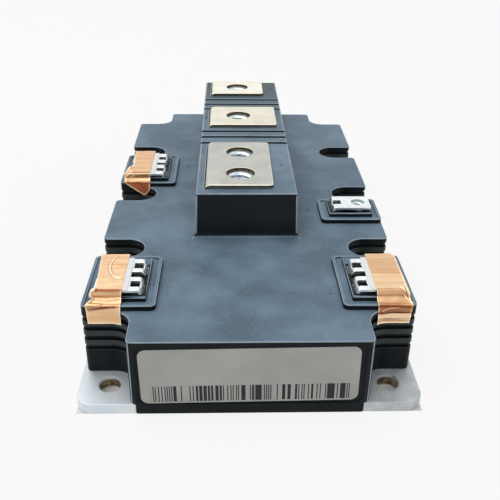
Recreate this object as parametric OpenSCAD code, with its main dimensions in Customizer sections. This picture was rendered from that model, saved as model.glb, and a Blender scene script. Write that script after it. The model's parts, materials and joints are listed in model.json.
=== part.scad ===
// Half-bridge power transistor module with a baseplate, a moulded housing and a raised power block.
// The deck carries four raised seats with folded auxiliary tabs, three of them shorted by copper tape.
// Millimetres, +Z up. X runs across the module and Y along it, with the label on the -Y end.
// The origin is the centre of the baseplate's underside.

/* [Baseplate] */
// Length of the module
base_l = 172; // [170:1:190]
// Width of the baseplate
base_w = 89; // [88:1:100]
// Thickness of the baseplate
base_t = 3; // [2.5:0.5:4]
// Radius of the baseplate's corners
base_corner_r = 4.5; // [2:0.5:6]
// Diameter of a mounting hole
mount_hole_d = 5.5; // [4.5:0.1:6.5]
// Width of the broken edge round a mounting hole
mount_hole_chamfer = 0.3; // [0.1:0.1:0.6]
// Distance between the two rows of mounting holes
mount_row_w = 73; // [72:0.5:75]
// Distance from an end of the baseplate to its nearest holes
mount_end_gap = 8; // [7.5:0.25:9]
// How far the housing's end lip is let into the end of the baseplate
end_recess = 1.6; // [1:0.1:2]

/* [Housing] */
// Width over the side walls
housing_w = 86.8; // [86:0.2:88]
// Height of the deck above the underside
deck_h = 22.3; // [21.5:0.1:24]
// Thickness of the deck
deck_t = 2.3; // [1.5:0.1:3]
// Thickness of the side and pocket walls
wall = 2.2; // [1.5:0.1:3]
// Width of a screw pocket
pocket_w = 11; // [10:0.5:12]
// Distance from a mounting hole to the inner end of its pocket
pocket_back = 6.1; // [5.6:0.1:7]
// Radius of the upright corners
edge_r = 1.5; // [0.5:0.1:2.5]
// Number of creepage grooves round the walls
groove_count = 4; // [2:1:4]
// Distance from groove to groove up a wall
groove_pitch = 3; // [2.6:0.1:3.2]
// Height of one groove
groove_h = 1.3; // [0.8:0.1:1.6]
// Depth of one groove
groove_depth = 0.7; // [0.3:0.1:1]
// Height of the lowest groove
groove_z = 10.2; // [8:0.1:10.4]
// Width of the lip that laps each end of the baseplate
lip_w = 57.5; // [50:0.5:59]
// Thickness of that lip
lip_t = 1.4; // [0.8:0.1:1.4]
// Width of the adhesive bead under the walls
bead_w = 0.9; // [0.5:0.1:1.2]
// Height of the adhesive bead
bead_h = 0.8; // [0.5:0.1:1.5]

/* [Power block] */
// Width of the block at its top
block_w = 30.4; // [29:0.2:32]
// Height of the block's top above the underside
block_top = 36.8; // [35:0.1:40]
// Length of the deck before the block
front_deck_l = 53.9; // [52:0.1:55.5]
// Draft of the block's walls in degrees
block_draft = 1.8; // [0.5:0.1:3]
// Radius along the block's top edges
block_edge_r = 0.7; // [0.4:0.1:1.6]
// Fillet where the block meets the deck
block_fillet = 1.3; // [0.5:0.1:2]
// Thickness of the block's top and side walls
block_wall = 2.4; // [1.5:0.1:3]
// How far each set of grooves stands off the middle of its gap, towards the near end
rib_shift = [0.4, 1.65];
// Number of grooves in a set
rib_count = 3; // [1:2:3]
// Distance from groove to groove in a set
rib_pitch = 6; // [4:0.1:6.4]
// Width of a groove across the block
rib_w = 1.9; // [1:0.1:2.4]
// Depth of a groove across the block
rib_depth = 1.1; // [0.5:0.1:1.6]

/* [Power terminals] */
// Height of the terminal plates' top above the block
plate_rise = 1.2; // [1.1:0.1:1.8]
// Thickness of the terminal sheet
plate_t = 1; // [0.8:0.1:1.1]
// Diameter of a screw hole in a plate
plate_hole_d = 9; // [8.4:0.1:10]
// Across-block place of the screw holes
screw_x = -1.7; // [-2.2:0.1:-1.2]
// Left edge of the terminal plates
plate_left = -12.6; // [-12.8:0.1:-12]
// Inside radius of the fold at a plate's left edge
plate_fold_r = 0.6; // [0.3:0.1:1]
// Radius of the plates' free corners
plate_corner_r = 1.2; // [0.5:0.1:2]
// How much shorter than its plate a riser is, at each end
riser_inset = 3; // [2:0.1:5]
// Width and length of the alternating-current plate
ac_size = [20.8, 36.6];
// Distance from the block's near end to the alternating-current plate
ac_end_gap = 3.5; // [2.5:0.1:4.5]
// Distance between the two screws of the alternating-current plate
ac_screw_pitch = 18; // [16:0.5:20]
// Width and length of the negative plate
minus_size = [25, 21.2];
// How far the negative plate stands off the middle between the other two, towards the far end
minus_shift = 0.15; // [-1:0.05:1]
// Width and length of the positive plate
plus_size = [21.6, 18.2];
// Distance from the positive plate to the block's far end
plus_end_gap = 2.1; // [1.5:0.1:3]
// Nominal thread diameter of the power screws
power_thread = 8; // [6:0.5:8]
// Width across the flats of a power nut
power_nut_af = 13; // [12:0.5:13.5]
// Height of a power nut
power_nut_h = 6.5; // [4:0.1:6.8]
// Depth of a power nut below its plate
power_nut_drop = 0.2; // [0.2:0.1:1]

/* [Auxiliary seats] */
// Height of a seat's rim above the deck
rim_h = 1.5; // [1.2:0.1:3]
// Thickness of a seat's rim
rim_t = 0.9; // [0.7:0.1:1.6]
// Inner outline of the seats
rim_inner_x = 24.2; // [23:0.1:24.4]
// Width of the trench inside the rim
trench_w = 1.8; // [1:0.1:2]
// Depth of the trench below the rim's top
trench_depth = 0.5; // [0.3:0.1:1.2]
// Height of the island in the trench above the deck
island_h = 2.3; // [1.5:0.1:3]
// Length of a seat that holds two tabs
seat_l_two = 26.2; // [25.6:0.1:27]
// Length of a seat that holds one tab
seat_l_one = 15.4; // [15:0.1:17]
// Distance from the single-tab seat to the middle pocket
single_seat_gap = 2.4; // [1.5:0.1:4]

/* [Auxiliary tabs] */
// Width of a tab in the two front seats
tab_w_front = 6.8; // [6:0.1:7]
// Width of a tab in the other two seats
tab_w_back = 8.6; // [7.6:0.1:8.8]
// Distance between the two tabs in a front seat
tab_pitch_front = 9.4; // [9.2:0.1:9.8]
// Distance between the two tabs in the back seat
tab_pitch_back = 10.6; // [10.2:0.1:11]
// Thickness of a tab
tab_t = 0.8; // [0.5:0.1:1]
// Gap between an island and the tabs over it
tab_gap = 0.9; // [0.5:0.1:1.2]
// Place of a tab's free end
tab_end_x = 40.4; // [40:0.1:40.6]
// Radius of a tab's free corners
tab_end_r = 1; // [0.5:0.1:1.5]
// Place of a tab's fold
tab_fold_x = 27.9; // [27.8:0.1:28]
// Outside radius of a tab's fold
tab_fold_r = 1.4; // [1.2:0.1:1.6]
// How far a pair of tabs stands off its seat's middle, towards the near end
tab_shift = 1.5; // [0:0.1:2]
// Place of the screw hole in a tab
tab_hole_x = 36.6; // [36.4:0.1:36.8]
// Diameter of the screw hole in a tab
tab_hole_d = 4.4; // [4.2:0.1:4.8]
// Length and width of the window beside a tab's fold
tab_window = [2.8, 2.9];
// Distance from a tab's fold to its window
tab_window_in = 0.4; // [0.3:0.1:0.8]
// Width of the leg below a tab
tab_leg_w = 3; // [2:0.1:3.4]
// Nominal thread diameter of the small screws
small_thread = 4; // [3:0.5:4]
// Width across the flats of a small nut
small_nut_af = 7; // [6:0.1:7]
// Height of a small nut
small_nut_h = 3.2; // [2.4:0.1:3.4]

/* [Tape and label] */
// Thickness of the copper shorting tape
tape_t = 0.15; // [0.1:0.05:0.3]
// Width of the copper shorting tape
tape_w = 8.8; // [7:0.1:9]
// Inner edge of the tape on the tabs
tape_inner_x = 33; // [32.5:0.1:33.6]
// How far a front tape hangs down the pocket wall
tape_drop = 5.5; // [3:0.1:8]
// Slack of the tape where it leaves the tabs
tape_slack = 1; // [0.6:0.1:1.2]
// Lengths of the back tape's triangular end at its inner edge and at its point
flap_drop = [3, 4.2];
// Distance of that point from the inner edge
flap_corner_x = 0.9; // [0.5:0.1:4]
// Width and height of the label
label_size = [54.7, 16.6];
// How far the label is stuck on askew, in degrees
label_turn = 0.85; // [-1:0.05:1]
// How far the label's middle stands off the middle of its bed
label_shift = -0.25; // [-0.5:0.05:0.5]
// Width and height of the label's bed
label_bed_size = [56.6, 17.8];
// Radius of the label's corners
label_r = 2; // [1:0.1:3]
// Thickness of the label
label_t = 0.15; // [0.1:0.05:0.3]
// Height of the middle of the label
label_z = 12; // [11.8:0.1:12.6]

/* [Circuit inside] */
// Width of a ceramic substrate
substrate_w = 51.6; // [50:0.2:54]
// Gap from substrate to substrate
substrate_gap = 4; // [3:0.5:6]
// Gap from the end walls to the substrates
substrate_end_gap = 4.4; // [3:0.1:6]
// Thickness of a ceramic substrate
ceramic_t = 0.63; // [0.3:0.01:1]
// Thickness of the copper tracks
copper_t = 0.3; // [0.2:0.05:0.6]
// Gap between copper tracks
track_gap = 0.8; // [0.5:0.1:1.2]
// Width of the middle track
mid_track_w = 6; // [5.5:0.1:7]
// Width of the signal tracks at the two sides
signal_track_w = 2.8; // [2:0.1:3.4]
// Edge length of a transistor chip
igbt_side = 10; // [8:0.1:10.4]
// Edge length of a diode chip
diode_side = 6.4; // [5:0.1:6.6]
// Thickness of the chips
chip_t = 0.25; // [0.15:0.05:0.5]
// Gap from a transistor chip to the end of its track
chip_end_gap = 0.6; // [0.3:0.1:1]
// Thickness of a bond wire
wire_t = 0.4; // [0.3:0.05:0.5]
// Number of bond wires from each chip
wire_count = 3; // [1:1:5]
// Height of a bond wire's loop above the chips
wire_loop = 1.6; // [1:0.1:2.4]
// Distance from wire to wire on a chip
wire_pitch = 1.8; // [1:0.1:1.9]
// Length, width and height of the thermistor
thermistor_size = [1.8, 3.4, 1];
// Heights of the three busbars above the baseplate
bar_lift = [8, 11, 14];
// Width of a busbar's foot along the module
foot_w = 5; // [3:0.1:6]
// Length of a busbar's foot
foot_l = 3.6; // [2:0.1:5]

/* [Hidden] */
$fn = 48;
eps = 0.01;
fit = 0.2;              // clearance round a piece that drops into a pocket
nut_play = 0.05;        // gap below a nut in its pocket
front = -base_l / 2;
mount_pitch = (base_l - 2 * mount_end_gap) / 4;
seat_outer_x = housing_w / 2;
pocket_in_x = mount_row_w / 2 - pocket_back;
pocket_round_x = pocket_in_x + pocket_w / 2;
row_ends = 2 * mount_pitch;                       // the outermost holes
cavity_x = pocket_in_x - wall;
cavity_y = base_l / 2 - lip_t - wall;
bay_x = housing_w / 2 - wall;
bay_half = (mount_pitch - pocket_w) / 2 - wall;
deck_under = deck_h - deck_t;
block_near = front + front_deck_l;
block_far = base_l / 2;
plate_top = block_top + plate_rise;
plate_under = plate_top - plate_t;
plate_out_r = plate_fold_r + plate_t;
power_nut_z = plate_under - power_nut_drop - power_nut_h;
screw_room = 2;                                   // depth for a screw's tip below a power nut
screw_floor = 0.8;                                // plastic left below a screw's tip
screw_bore_d = power_thread + 1.4;                // hole for a screw's tip below a power nut
channel_top = power_nut_z - screw_room - screw_floor;
label_bed = label_t + 0.05;                       // depth of the label's bed in the end wall
ac_y = block_near + ac_end_gap + ac_size[1] / 2;
plus_y = block_far - plus_end_gap - plus_size[1] / 2;
ac_far = ac_y + ac_size[1] / 2;
plus_near = plus_y - plus_size[1] / 2;
minus_y = (ac_far + plus_near) / 2 + minus_shift;
// How far each groove's cut reaches from the middle of the block, past its foot and short of the seats
rib_reach = block_w / 2 + 2 * block_fillet;
// Places of the middle groove of each set
rib_sets = [
    (ac_far + minus_y - minus_size[1] / 2) / 2 - rib_shift[0],
    (minus_y + minus_size[1] / 2 + plus_near) / 2 - rib_shift[1]
];
screws = [
    ["m8_nut_ac_1", ac_y - ac_screw_pitch / 2],
    ["m8_nut_ac_2", ac_y + ac_screw_pitch / 2],
    ["m8_nut_minus", minus_y],
    ["m8_nut_plus", plus_y]
];
rim_top = deck_h + rim_h;
trench_z = rim_top - trench_depth;
island_top = deck_h + island_h;
tab_z = island_top + tab_gap;
small_nut_z = tab_z - small_nut_h;
track_z = base_t + ceramic_t;
track_top = track_z + copper_t;
chip_top = track_top + chip_t;
substrate_l = (2 * cavity_y - 2 * substrate_end_gap - 3 * substrate_gap) / 4;
substrate_pitch = substrate_l + substrate_gap;
track_margin = 1;                                 // from a track to the edge of its substrate
signal_out_x = substrate_w / 2 - track_margin;
signal_in_x = signal_out_x - signal_track_w;
main_out_x = signal_in_x - track_gap;
main_in_x = mid_track_w / 2 + track_gap;
chip_margin = 0.3;                                // from a chip to the edge of its track
track_l = substrate_l - 2 * track_margin;
chip_y = track_l / 2 - chip_end_gap - igbt_side / 2;
signal_split_y = -2.2;                            // gap between the two signal tracks of a side
igbt_x = main_out_x - chip_margin - igbt_side / 2;
diode_x = main_in_x + chip_margin + diode_side / 2;
wire_land_x = mid_track_w / 2 - 2 * wire_t;       // where the wires land on the middle track
wire_steps = 8;                                   // straight pieces in a wire's loop
front_seat_near = -(row_ends - pocket_w / 2);
back_seat_near = pocket_w / 2;
single_seat_near = -(pocket_w / 2 + single_seat_gap + seat_l_one);
// Each seat: its side (-1 left, 1 right), near edge, length, number of tabs, tab pitch, tab width
seats = [
    [-1, front_seat_near, seat_l_two, 2, tab_pitch_front, tab_w_front],
    [1, front_seat_near, seat_l_two, 2, tab_pitch_front, tab_w_front],
    [-1, back_seat_near, seat_l_two, 2, tab_pitch_back, tab_w_back],
    [1, single_seat_near, seat_l_one, 1, 0, tab_w_back]
];
seat_names = ["front_left", "front_right", "back_left", "middle_right"];
substrates = [1:4];

function substrate_y(n) = (n - 2.5) * substrate_pitch;
bar_far = substrate_y(4) + foot_w / 2;
bar_x = [-18, -9.5, -8, 0.5, 13];                 // edges of the busbars, from left to right
signal_foot_in = 0.5;                             // from a signal track's edge to a tab's foot

function seat_mid(seat) = seat[1] + seat[2] / 2;
function tab_y(seat, k) = seat_mid(seat) + (seat[3] == 1 ? 0 : (k - 1.5) * seat[4] - tab_shift);

module rounded_plate(size, r) {
    for (turn = [0, 1]) square([size[0] - 2 * r * turn, size[1] - 2 * r * (1 - turn)], center = true);
    for (sx = [-1, 1]) for (sy = [-1, 1])
        translate([sx * (size[0] / 2 - r), sy * (size[1] / 2 - r)]) circle(r);
}

module at_mount_holes() {
    for (sx = [-1, 1]) for (row = [-2:2]) translate([sx * mount_row_w / 2, row * mount_pitch, 0]) children();
}

// ---- Baseplate ----
module baseplate() color("gainsboro") difference() {
    linear_extrude(base_t) rounded_plate([base_w, base_l], base_corner_r);
    at_mount_holes() {
        translate([0, 0, -eps]) cylinder(d = mount_hole_d, h = base_t + 2 * eps);
        translate([0, 0, base_t - mount_hole_chamfer])
            cylinder(d1 = mount_hole_d, d2 = mount_hole_d + 2 * mount_hole_chamfer + 2 * eps,
                     h = mount_hole_chamfer + eps);
    }
    for (end = [-1, 1]) translate([0, end * base_l / 2, 0])
        cube([lip_w + 2 * fit, 2 * end_recess, 3 * base_t], center = true);
}

// ---- Housing ----
// Outline of one screw pocket, open towards +X; grow widens it all round
module pocket(grow) {
    r = pocket_w / 2 + grow;
    translate([pocket_round_x, 0]) {
        circle(r);
        translate([0, -r]) square([base_w, 2 * r]);
    }
}

// Outline of the housing with its side and pocket walls moved in by inset
module plan(inset) difference() {
    square([housing_w - 2 * inset, base_l], center = true);
    for (side = [0, 1]) mirror([side, 0]) {
        for (row = [-2:2]) translate([0, row * mount_pitch]) pocket(inset);
        for (end = [0, 1]) mirror([0, end])
            translate([pocket_in_x - inset, row_ends]) square(base_w);
    }
}

// Outline of the space inside the walls; grow widens it into the walls
module cavity_plan(grow) {
    square([2 * (cavity_x + grow), 2 * (cavity_y + grow)], center = true);
    for (bay = [-1.5:1.5]) translate([0, bay * mount_pitch])
        square([2 * (bay_x + grow), 2 * (bay_half + grow)], center = true);
}

module upright_edge_cut() difference() {
    translate([-edge_r, -edge_r]) square(2 * edge_r);
    translate([-edge_r, -edge_r]) circle(edge_r);
}

module walls() difference() {
    translate([0, 0, base_t]) linear_extrude(deck_h - base_t) difference() {
        plan(0);
        for (sx = [0, 1]) for (sy = [0, 1]) mirror([sx, 0]) mirror([0, sy]) {
            translate([pocket_in_x, base_l / 2]) upright_edge_cut();
            for (bay = [0.5, 1.5]) for (flip = [0, 1])
                translate([housing_w / 2, bay * mount_pitch]) mirror([0, flip])
                    translate([0, (mount_pitch - pocket_w) / 2]) upright_edge_cut();
        }
    }
    for (i = [0:groove_count - 1])
        translate([0, 0, groove_z + i * groove_pitch]) linear_extrude(groove_h) difference() {
            square([base_w, 2 * row_ends], center = true);
            plan(groove_depth);
        }
}

// Cross-section of the block: drafted sides, rounded top edges and filleted foot, of half width w
module block_profile(w) {
    rise = block_top - deck_h;
    lean = rise * tan(block_draft);
    foot = w + lean;
    difference() {
        union() {
            polygon([[-foot, 0], [foot, 0], [w, rise], [-w, rise]]);
            for (side = [0, 1]) mirror([side, 0]) difference() {
                translate([foot - block_fillet, 0]) square([2 * block_fillet, block_fillet]);
                translate([foot + block_fillet, block_fillet]) circle(block_fillet);
            }
        }
        for (side = [0, 1]) mirror([side, 0]) translate([w, rise]) difference() {
            translate([-block_edge_r, -block_edge_r]) square(2 * block_edge_r);
            translate([-block_edge_r, -block_edge_r]) circle(block_edge_r);
        }
    }
}

module block() intersection() {
    // across the module
    translate([0, base_l / 2, deck_h - eps]) rotate([90, 0, 0])
        linear_extrude(base_l) block_profile(block_w / 2);
    // along the module: the same profile at the near end, cut flush at the far end
    translate([-base_w / 2, 0, deck_h - eps]) rotate([90, 0, 90]) linear_extrude(base_w) intersection() {
        translate([block_far, 0]) block_profile(block_far - block_near);
        translate([block_near - 2 * block_fillet, 0])
            square([block_far - block_near + 2 * block_fillet, block_top]);
    }
}

// Grooves across the top of the block and down its two sides
module block_ribs() for (set = rib_sets) for (i = [0:rib_count - 1])
    translate([0, set + (i - (rib_count - 1) / 2) * rib_pitch, 0]) difference() {
        translate([-rib_reach, -rib_w / 2, deck_h + block_fillet]) cube([2 * rib_reach, rib_w, block_top]);
        translate([rib_depth - block_w / 2, -rib_w, 0])
            cube([block_w - 2 * rib_depth, 2 * rib_w, block_top - rib_depth]);
    }

// A hexagonal pocket with its flats facing +X and -X
module hex_pocket(af, h) rotate(30) cylinder(d = (af + fit) / cos(30), h = h, $fn = 6);

module seat_place(seat) mirror([seat[0] < 0 ? 1 : 0, 0, 0]) children();

// A seat's outline moved in by inset
module seat_plan(seat, inset)
    translate([(seat_outer_x + rim_inner_x) / 2, seat_mid(seat)])
        rounded_plate([seat_outer_x - rim_inner_x - 2 * inset, seat[2] - 2 * inset], edge_r - inset / 2);

module seat_rim(seat) seat_place(seat) translate([0, 0, deck_h - eps]) linear_extrude(rim_h + eps)
    seat_plan(seat, 0);

module seat_hollow(seat) seat_place(seat) translate([0, 0, trench_z])
    linear_extrude(2 * trench_depth) seat_plan(seat, rim_t);

module seat_island(seat) seat_place(seat) translate([0, 0, trench_z - eps])
    linear_extrude(island_top - trench_z + eps) seat_plan(seat, rim_t + trench_w);

// Nut pockets, screw clearance below them and slots for the tabs' legs
module seat_cuts(seat) seat_place(seat) for (k = [1:seat[3]]) {
    translate([tab_hole_x, tab_y(seat, k), small_nut_z - nut_play]) hex_pocket(small_nut_af, 2 * small_nut_h);
    translate([tab_hole_x, tab_y(seat, k), deck_under + screw_floor])
        cylinder(d = small_thread + 2 * fit, h = small_nut_h);
    translate([tab_fold_x - fit, tab_y(seat, k) - tab_leg_w / 2 - fit, deck_under - 1])
        cube([tab_t + 2 * fit, tab_leg_w + 2 * fit, island_top - deck_under + 2]);
}

// Slot for a terminal's riser, with a shallow bed for the full length of its fold
module terminal_cuts(size, y) {
    translate([plate_left - fit, y - size[1] / 2 + riser_inset - fit, channel_top - eps])
        cube([plate_t + 2 * fit, size[1] - 2 * riser_inset + 2 * fit, block_top - channel_top + 1]);
    translate([plate_left - fit, y - size[1] / 2 - fit, plate_top - plate_out_r - fit])
        cube([plate_out_r + fit, size[1] + 2 * fit, plate_out_r]);
}

// A rounded plate in the label's bed, turned and shifted on the end wall
module label_shape(size, depth, turn, shift) translate([shift, front + label_bed, label_z])
    rotate([90, 0, 0]) linear_extrude(depth) rotate(turn) rounded_plate(size, label_r);

module housing() color("#343b45") difference() {
    union() {
        difference() {
            union() {
                walls();
                for (seat = seats) seat_rim(seat);
            }
            translate([0, 0, base_t - eps]) linear_extrude(deck_under - base_t + eps) cavity_plan(0);
            for (seat = seats) seat_hollow(seat);
        }
        for (seat = seats) seat_island(seat);
        block();
        for (end = [front, -front - lip_t]) translate([-lip_w / 2, end, 0]) cube([lip_w, lip_t, base_t + 1]);
    }
    // channel for the busbars, up into the block
    translate([-block_w / 2 + block_wall, block_near + block_wall, base_t])
        cube([block_w - 2 * block_wall, cavity_y - block_near - block_wall, channel_top - base_t]);
    block_ribs();
    for (screw = screws) translate([screw_x, screw[1], power_nut_z - nut_play]) {
        hex_pocket(power_nut_af, power_nut_h + 2 * block_wall);
        translate([0, 0, -screw_room]) cylinder(d = screw_bore_d, h = power_nut_h);
    }
    terminal_cuts(ac_size, ac_y);
    terminal_cuts(minus_size, minus_y);
    terminal_cuts(plus_size, plus_y);
    for (seat = seats) seat_cuts(seat);
    label_shape(label_bed_size, 2 * label_bed, 0, 0);
    translate([0, 0, base_t - eps]) linear_extrude(bead_h + eps) cavity_plan(bead_w);
}

module adhesive_bead() color("white") translate([0, 0, base_t]) linear_extrude(bead_h) difference() {
    cavity_plan(bead_w);
    cavity_plan(0);
}

// ---- Power terminals ----
// The visible plate and its fold, drawn in section and carried along Y
module fold_section(w) {
    translate([plate_left + plate_out_r, plate_under]) square([w - plate_out_r, plate_t]);
    translate([plate_left + plate_out_r, plate_top - plate_out_r]) intersection() {
        difference() {
            circle(plate_out_r);
            circle(plate_fold_r);
        }
        translate([-plate_out_r, 0]) square(plate_out_r);
    }
}

module terminal_plate(size, y, holes) difference() {
    intersection() {
        translate([0, y + size[1] / 2, 0]) rotate([90, 0, 0]) linear_extrude(size[1]) fold_section(size[0]);
        translate([plate_left + size[0] / 2, y, 0]) linear_extrude(plate_top)
            rounded_plate([size[0], size[1]], plate_corner_r);
    }
    for (hole = holes) translate([screw_x, hole, 0]) cylinder(d = plate_hole_d, h = 2 * plate_top);
}

// The upright sheet below a plate's fold, down to its busbar
module riser(size, y, bottom) translate([plate_left, y - size[1] / 2 + riser_inset, bottom])
    cube([plate_t, size[1] - 2 * riser_inset, plate_top - plate_out_r - bottom + eps]);

// A busbar in the cavity from x0 to x1, with a leg and a foot on each substrate
module busbar(level, x0, x1, y1, foot_x) {
    z = base_t + bar_lift[level];
    y0 = substrate_y(1) - foot_w / 2;
    translate([x0, y0, z]) cube([x1 - x0, y1 - y0, plate_t]);
    for (n = substrates) translate([foot_x, substrate_y(n) - foot_w / 2, track_top]) {
        cube([plate_t, foot_w, z - track_top + plate_t]);
        cube([foot_l, foot_w, plate_t]);
    }
}

// Joins a riser to its busbar
module bar_arm(level, size, y, x1)
    translate([plate_left, y - size[1] / 2 + riser_inset, base_t + bar_lift[level]])
        cube([x1 - plate_left, size[1] - 2 * riser_inset, plate_t]);

module terminal_ac() color("lightgrey") {
    terminal_plate(ac_size, ac_y, [screws[0][1], screws[1][1]]);
    riser(ac_size, ac_y, base_t + bar_lift[0]);
    busbar(0, bar_x[0], bar_x[1], bar_far, bar_x[0]);
}

module terminal_minus() color("lightgrey") {
    terminal_plate(minus_size, minus_y, [minus_y]);
    riser(minus_size, minus_y, base_t + bar_lift[1]);
    bar_arm(1, minus_size, minus_y, bar_x[3]);
    busbar(1, bar_x[2], bar_x[3], bar_far, -foot_l / 2);
}

module terminal_plus() color("lightgrey") {
    terminal_plate(plus_size, plus_y, [plus_y]);
    riser(plus_size, plus_y, base_t + bar_lift[2]);
    bar_arm(2, plus_size, plus_y, bar_x[4]);
    busbar(2, bar_x[2], bar_x[4], plus_y + plus_size[1] / 2 - riser_inset, bar_x[4] - plate_t);
}

module nut(af, h, thread) difference() {
    rotate(30) cylinder(d = af / cos(30), h = h, $fn = 6);
    translate([0, 0, -eps]) cylinder(d = thread, h = h + 2 * eps);
}

module power_nut(y) color("silver") translate([screw_x, y, power_nut_z])
    nut(power_nut_af, power_nut_h, power_thread);

// ---- Auxiliary tabs ----
module aux_tab(seat, k) color("whitesmoke") seat_place(seat) translate([0, tab_y(seat, k), 0]) {
    fold_z = tab_z + tab_t - tab_fold_r;
    difference() {
        union() {
            translate([tab_fold_x + tab_fold_r, -seat[5] / 2, tab_z])
                cube([tab_end_x - tab_fold_x - tab_fold_r - tab_end_r, seat[5], tab_t]);
            translate([tab_end_x - 2 * tab_end_r, 0, tab_z]) linear_extrude(tab_t)
                rounded_plate([4 * tab_end_r, seat[5]], tab_end_r);
            translate([tab_fold_x + tab_fold_r, seat[5] / 2, fold_z]) rotate([90, 0, 0])
                linear_extrude(seat[5]) intersection() {
                    difference() {
                        circle(tab_fold_r);
                        circle(tab_fold_r - tab_t);
                    }
                    translate([-tab_fold_r, 0]) square(tab_fold_r);
                }
        }
        translate([tab_hole_x, 0, 0]) cylinder(d = tab_hole_d, h = 2 * tab_z);
        translate([tab_fold_x + tab_window_in, -tab_window[1] / 2, fold_z + tab_window_in])
            cube([tab_window[0], tab_window[1], 2 * tab_fold_r]);
    }
    // leg down to a signal track
    translate([tab_fold_x, -tab_leg_w / 2, track_top]) cube([tab_t, tab_leg_w, fold_z - track_top + eps]);
    translate([signal_in_x + signal_foot_in, -tab_leg_w / 2, track_top])
        cube([tab_fold_x - signal_in_x - signal_foot_in + eps, tab_leg_w, tab_t]);
}

module small_nut(seat, k) color("silver") seat_place(seat)
    translate([tab_hole_x, tab_y(seat, k), small_nut_z]) nut(small_nut_af, small_nut_h, small_thread);

// ---- Copper tape ----
// A sheet of thickness t on the left-hand side of a path of points
function unit(v) = v / norm(v);
function left(v) = [-v[1], v[0]];
function corner_shift(a, b, t) = (a + b) * t / (1 + a * b);
function side_normals(path) = [for (i = [0:len(path) - 2]) left(unit(path[i + 1] - path[i]))];
function shifted(path, t) = let (n = side_normals(path), last = len(path) - 1)
    [for (i = [0:last]) path[i] + corner_shift(n[max(i - 1, 0)], n[min(i, last - 1)], t)];
module strip(path, t) polygon(concat(path, [for (i = [len(path) - 1:-1:0]) shifted(path, t)[i]]));

// Section of a tape from its lifted far end over the tabs to the rim, and down by drop
module tape_section(seat, drop) {
    far = tab_y(seat, seat[3]) + seat[5] / 2;
    near = tab_y(seat, 1) - seat[5] / 2;
    strip([
        [seat[1] - eps, rim_top - drop],
        [seat[1] - eps, rim_top],
        [seat[1] + rim_t, rim_top],
        [near - tape_slack, island_top + 3 * tape_t],
        [near, tab_z + tab_t],
        [far, tab_z + tab_t],
        [far + 2 * tape_slack, tab_z + tab_t - tape_slack / 2],
        [seat[1] + seat[2] - tape_slack / 2, tab_z]
    ], tape_t);
}

module tape(seat, drop) color("peru") seat_place(seat)
    translate([tape_inner_x, 0, 0]) rotate([90, 0, 90]) linear_extrude(tape_w) tape_section(seat, drop);

// The hanging end of a front tape, over the sliver of deck before the rim and down the pocket's wall
module tape_end(seat) color("peru") seat_place(seat)
    translate([0, seat[1] - pocket_w / 2, rim_top - tape_drop]) intersection() {
        translate([tape_inner_x, 0, 0]) cube([tape_w, pocket_w, tape_drop]);
        union() {
            linear_extrude(tape_drop - rim_h + tape_t + eps) difference() {
                pocket(-eps);
                pocket(-eps - tape_t);
            }
            translate([0, 0, tape_drop - rim_h + eps]) linear_extrude(tape_t) difference() {
                square([base_w, pocket_w / 2 - eps]);
                pocket(-eps - tape_t);
            }
        }
    }

// The end of the back tape, turned under into a triangle that hangs clear of the pocket's round end
module tape_flap(seat) color("sienna") seat_place(seat)
    translate([pocket_round_x, seat[1] - eps, rim_top - tape_t]) rotate([90, 0, 0]) linear_extrude(tape_t)
        polygon([[0, 0], [0, -flap_drop[0]], [flap_corner_x, -flap_drop[1]],
                 [tape_inner_x + tape_w - pocket_round_x, 0]]);

// ---- Label ----
module label() color("gainsboro") label_shape(label_size, label_t, label_turn, label_shift);

// ---- Circuit ----
module on_substrate(n) translate([0, substrate_y(n), 0]) children();

module ceramic(n) color("white") on_substrate(n) translate([0, 0, base_t + ceramic_t / 2])
    cube([substrate_w, substrate_l, ceramic_t], center = true);

module copper_tracks(n) color("chocolate") on_substrate(n) {
    translate([-mid_track_w / 2, -track_l / 2, track_z]) cube([mid_track_w, track_l, copper_t]);
    for (side = [0, 1]) mirror([side, 0, 0]) {
        translate([main_in_x, -track_l / 2, track_z]) cube([main_out_x - main_in_x, track_l, copper_t]);
        translate([signal_in_x, -track_l / 2, track_z])
            cube([signal_track_w, track_l / 2 + signal_split_y - track_gap / 2, copper_t]);
        translate([signal_in_x, signal_split_y + track_gap / 2, track_z])
            cube([signal_track_w, track_l / 2 - signal_split_y - track_gap / 2, copper_t]);
    }
}

module chip_places(x) for (side = [0, 1]) mirror([side, 0, 0]) for (end = [-1, 1])
    translate([x, end * chip_y, 0]) children();

module igbt_chips(n) color("dimgrey") on_substrate(n) chip_places(igbt_x)
    translate([0, 0, track_top + chip_t / 2]) cube([igbt_side, igbt_side, chip_t], center = true);

module diode_chips(n) color("slategrey") on_substrate(n) chip_places(diode_x)
    translate([0, 0, track_top + chip_t / 2]) cube([diode_side, diode_side, chip_t], center = true);

// A wire loop from x0 at height z0 to x1 at height z1, with a flat foot at each end
function loop_line(x0, z0, x1, z1, up) = concat(
    [[x0 + wire_t, z0 + up]],
    [for (i = [0:wire_steps]) [x0 + (x1 - x0) * i / wire_steps,
        z0 + (z1 - z0) * i / wire_steps + wire_loop * sin(180 * i / wire_steps) + up]],
    [[x1 - wire_t, z1 + up]]
);

module wire_loop_shape(x0, z0, x1, z1) {
    over = loop_line(x0, z0, x1, z1, wire_t);
    polygon(concat(loop_line(x0, z0, x1, z1, 0), [for (i = [len(over) - 1:-1:0]) over[i]]));
}

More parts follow.
